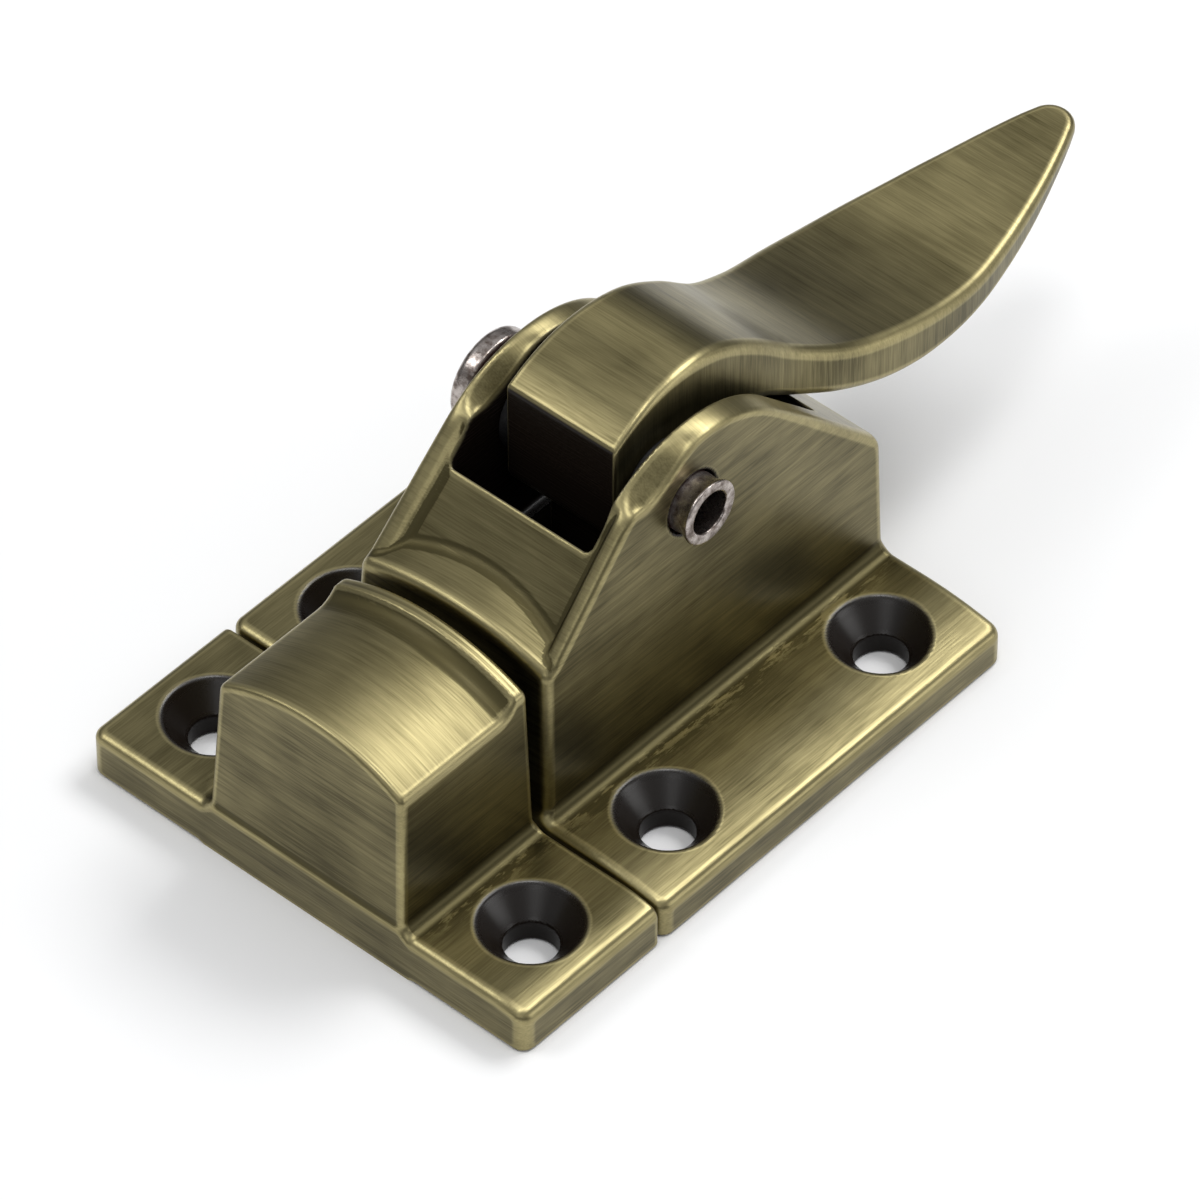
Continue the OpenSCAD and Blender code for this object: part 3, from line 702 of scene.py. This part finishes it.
def lathe_x(name, outline, middle):
    """A solid turned about a line along X from an outline of X and radius."""
    turns = 96
    around = np.arange(turns) * math.tau / turns
    rings = [[(x, r * math.cos(a), r * math.sin(a)) for a in around] for x, r in outline]
    points = (np.array(rings).reshape(-1, 3) + np.array(middle)) * MM
    faces = []
    for i in range(len(outline) - 1):
        for k in range(turns):
            n = (k + 1) % turns
            faces.append((i * turns + k, i * turns + n, (i + 1) * turns + n, (i + 1) * turns + k))
    faces.append(tuple(range(turns - 1, -1, -1)))
    faces.append(tuple(range((len(outline) - 1) * turns, len(outline) * turns)))
    return smooth_piece(name, points.tolist(), faces)


def smooth_piece(name, points, faces):
    """A mesh shaded smooth, but for its sharp edges."""
    sharp = 40
    mesh = bpy.data.meshes.new(name)
    mesh.from_pydata(points, [], faces)
    mesh.update()
    mesh.polygons.foreach_set("use_smooth", [True] * len(mesh.polygons))
    mesh.set_sharp_from_angle(angle=math.radians(sharp))
    piece = bpy.data.objects.new(name, mesh)
    bpy.context.scene.collection.objects.link(piece)
    return piece


def arc(at_x, at_r, r, start, end, steps=8):
    """Points of a rounded edge in an outline of X and radius, from one angle to another."""
    angles = [math.radians(start + (end - start) * i / steps) for i in range(steps + 1)]
    return [(at_x + r * math.cos(a), at_r + r * math.sin(a)) for a in angles]


def rivet():
    """The hollow rivet: a plain head on the far ear and a flared open end on the near one."""
    ear = HOUSE_W / 2 - (PIVOT_Z - PLATE_T) * math.tan(DRAFT)
    open_end = ear + 1.7
    head_under = -ear - 0.75
    head_top = head_under - 1.65
    outline = [(head_top, 0.02), (head_top, 1.4)]
    outline += arc(head_top + 0.6, HEAD_R - 0.6, 0.6, 180, 90)
    outline += arc(head_under - 0.25, HEAD_R - 0.25, 0.25, 90, 0, 5)
    outline += [(head_under, RIVET_R), (ear - 1.2, RIVET_R)]
    outline += [(ear - 1, RIVET_R - 0.1), (ear + 0.7, RIVET_R - 0.17)]
    outline += [(open_end - 0.45, RIVET_R), (open_end - 0.3, RIVET_R + 0.1)]
    outline += arc(open_end - 0.15, RIVET_R - 0.02, 0.15, 70, 0, 6)
    outline += arc(open_end - 0.2, 1.95, 0.2, 0, -90, 6)
    outline += [(open_end - 4, 1.75), (open_end - 8.9, 1.7), (open_end - 9, 0.02)]
    return lathe_x("rivet", outline, (0, PIVOT_Y, PIVOT_Z))


def spring():
    """The bolt's coil spring, as a round wire swept along its coil."""
    turns = 6
    wire_r = 0.35
    coil_r = 2.95
    start_y = BOLT_REAR_Y + CLEARANCE + wire_r
    length = CHANNEL_REAR_Y - BOLT_REAR_Y - 2 * wire_r - 2 * CLEARANCE
    steps = 64 * turns
    sides = 14
    points = []
    for i in range(steps + 1):
        turn = math.tau * turns * i / steps
        for k in range(sides):
            a = math.tau * k / sides
            r = coil_r + wire_r * math.cos(a)
            y = start_y + length * i / steps + wire_r * math.sin(a)
            points.append((r * math.cos(turn) * MM, y * MM, (SPRING_Z + r * math.sin(turn)) * MM))
    faces = []
    for i in range(0, steps * sides, sides):
        for k in range(sides):
            n = (k + 1) % sides
            faces.append((i + k, i + n, i + sides + n, i + sides + k))
    faces += [tuple(range(sides - 1, -1, -1)), tuple(range(steps * sides, (steps + 1) * sides))]
    return smooth_piece("spring_coil", points, faces)


def build_pieces():
    """Makes every piece with its finish, and sets it in the place of its CAD node."""
    brass = antique_brass()
    # The bolt's brass is painted dark as shade, since it sits in the channel; the tints paint shade into the
    # hollows of the other metals too.
    dark_shaded_brass = plain_metal("dark_shaded_brass", (0.12, 0.095, 0.045), (0.05, 0.04, 0.02), 0.4,
                            (0.003, 0.002, 0.001), 12)
    rivet_metal = plain_metal("rivet_metal", (0.50, 0.45, 0.42), (0.12, 0.09, 0.075), 0.24,
                              (0.035, 0.010, 0.008))
    dark_metal = plain_metal("dark_metal", (0.12, 0.12, 0.12), (0.06, 0.06, 0.06), 0.38,
                             (0.004, 0.003, 0.003), 8)
    wire = plain_metal("wire", (0.46, 0.46, 0.48), (0.30, 0.30, 0.32), 0.3)
    half = PLATE_W / 2

    piece, points, normals = surface("body_casting", latch_body, (-half, FRONT_Y, 0),
                                     (half, BACK_Y, HOUSE_TOP + 0.4), 0.2)
    # Painted shade: black in the slot, the bolt's channel and round the rivet's foot, with the countersinks'
    # own black.
    rivet_foot = along_x(points[:, 1], points[:, 2], PIVOT_Y, PIVOT_Z, RIVET_R + 0.15)
    depth = np.minimum(np.minimum(*body_recesses(*points.T)), rivet_foot)
    set_finish(piece, casting_grain(points, normals), 1 - smooth_share(depth, 0.04, 0.24))
    place(piece, "latch_body", "base", brass)

    piece, points, normals = surface("strike_casting", strike, (-half, STRIKE_FRONT_Y, 0),
                                     (half, STRIKE_BACK_Y, HOOD_H + HOOD_RISE + LIP_H + 0.1), 0.17)
    # Painted shade: black in the hood's hollow, with the countersinks' own black.
    depth = strike_recesses(*points.T)
    set_finish(piece, casting_grain(points, normals), 1 - smooth_share(depth, 0.04, 0.24))
    place(piece, "strike", "base", brass)

    low = (-BLADE_HALF, PIVOT_Y - HUB_R, PIVOT_Z - FOOT_DROP - FOOT_R)
    high = (BLADE_HALF, PIVOT_Y + REACH, PIVOT_Z + CROWN)
    piece, _, normals = surface("lever_casting", lever, low, high, 0.17)
    # Painted shade: the lever's faces turned to the front, the hub's face in the slot, are black.
    set_finish(piece, lever_grain(normals), smooth_share(-normals[:, 1], 0.8, 0.92))
    place(piece, "lever", "lever", brass)

    piece, _, _ = surface("bolt_bar", bolt, (-BOLT_HALF, NOSE_TIP_Y, BOLT_LOW),
                          (BOLT_HALF, BOLT_REAR_Y + STUD_LEN, BOLT_TOP), 0.2)
    place(piece, "bolt", "bolt", dark_shaded_brass)

    piece, _, _ = surface("bottom_sheet", back_plate, (-SHEET_HALF, CHANNEL_FRONT_Y, 0),
                          (SHEET_HALF, BACK_Y, SHEET_T), 0.15)
    place(piece, "back_plate", "base", dark_metal)

    screws_half = SCREW_X + SCREW_HEAD_R + 0.15
    screws_deep = SCREW_HEAD_R + 0.1
    piece, _, _ = surface("sheet_screws", plate_screws, (-screws_half, -screws_deep, 0),
                          (screws_half, screws_deep, SCREW_LEN), 0.09)
    place(piece, "plate_screws", "base", rivet_metal)

    piece, _, _ = surface("hub_washers", spacer_washers,
                          (-SLOT_HALF, PIVOT_Y - WASHER_R, PIVOT_Z - WASHER_R),
                          (SLOT_HALF, PIVOT_Y + WASHER_R, PIVOT_Z + WASHER_R), 0.1)
    place(piece, "spacer_washers", "base", dark_metal)

    place(rivet(), "pivot_rivet", "base", rivet_metal)

    piece = spring()
    place(piece, "bolt_spring", "base", wire)
    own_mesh(piece)


def add_camera():
    """The camera that the photograph was taken with, solved from the screw holes and edges of the plates."""
    azimuth = math.radians(41.7257)
    elevation = math.radians(45.4664)
    roll = math.radians(-0.0991)
    aside = 11.253
    above = 14.265
    away = 718.775
    right = Vector((math.cos(azimuth), math.sin(azimuth), 0))
    back = Vector((math.sin(azimuth) * math.cos(elevation), -math.cos(azimuth) * math.cos(elevation),
                   math.sin(elevation)))
    up = back.cross(right)
    place_at = right * aside + up * above + back * away + Vector((0, FRONT_Y, 0))
    turned = (right * math.cos(roll) + up * math.sin(roll),
              up * math.cos(roll) - right * math.sin(roll), back)
    camera = bpy.data.objects.new("camera", bpy.data.cameras.new("camera"))
    camera.matrix_world = Matrix.Translation(place_at * MM) @ Matrix(turned).transposed().to_4x4()
    camera.data.lens = 300
    camera.data.sensor_width = 36
    camera.data.clip_start = 0.01
    bpy.context.scene.collection.objects.link(camera)
    bpy.context.scene.camera = camera


def add_light(name, place_at, aim, size, power):
    """A soft box at a place in millimetres, turned towards a point of the latch."""
    lamp = bpy.data.lights.new(name, "AREA")
    lamp.shape = "RECTANGLE"
    lamp.size = size[0] * MM
    lamp.size_y = size[1] * MM
    lamp.energy = power
    holder = bpy.data.objects.new(name, lamp)
    holder.location = Vector(place_at) * MM
    holder.rotation_euler = (Vector(aim) - Vector(place_at)).to_track_quat("-Z", "Y").to_euler()
    bpy.context.scene.collection.objects.link(holder)


def add_studio():
    """Soft boxes around the latch, in a room that is dim near the floor and lighter overhead."""
    add_light("back_box", (90, 420, 600), (0, 10, 10), (420, 280), 2.3)
    add_light("right_box", (560, 330, 200), (0, 10, 10), (420, 240), 0.62)
    add_light("front_box", (-285, -260, 460), (0, 0, 10), (200, 200), 0.5)
    add_light("low_box", (-240, -560, 120), (0, 0, 10), (220, 200), 0.1)
    add_light("top_box", (60, -40, 760), (0, 0, 10), (220, 220), 1.1)
    add_light("near_box", (300, -510, 375), (0, 0, 10), (300, 200), 0.2)

    world = bpy.data.worlds.new("studio")
    bpy.context.scene.world = world
    world.use_nodes = True
    tree = world.node_tree
    tree.nodes.clear()
    way = add(tree, "ShaderNodeSeparateXYZ", {0: add(tree, "ShaderNodeTexCoord").outputs["Generated"]})
    strength = span(tree, way.outputs["Z"], 0.3, 0.85, 0.17, 0.6)
    around = add(tree, "ShaderNodeBackground", {"Color": (0.97, 0.98, 1.0, 1), "Strength": strength})
    add(tree, "ShaderNodeOutputWorld", {0: around.outputs[0]})


def add_floor():
    """A wide, pale and level floor just under the latch."""
    half = 2.5
    gap = 0.02
    corners = [(-half, -half, 0), (half, -half, 0), (half, half, 0), (-half, half, 0)]
    mesh = bpy.data.meshes.new("floor")
    mesh.from_pydata(corners, [], [(0, 1, 2, 3)])
    floor = bpy.data.objects.new("floor", mesh)
    floor.location.z = -gap * MM
    bpy.context.scene.collection.objects.link(floor)
    material, _, shader, _ = start_material("floor")
    shader.inputs["Base Color"].default_value = (0.96, 0.96, 0.96, 1)
    shader.inputs["Roughness"].default_value = 0.6
    shader.inputs["Specular IOR Level"].default_value = 0.2
    mesh.materials.append(material)


add_camera()
build_pieces()
add_studio()
add_floor()
bpy.context.scene.view_settings.view_transform = "Standard"
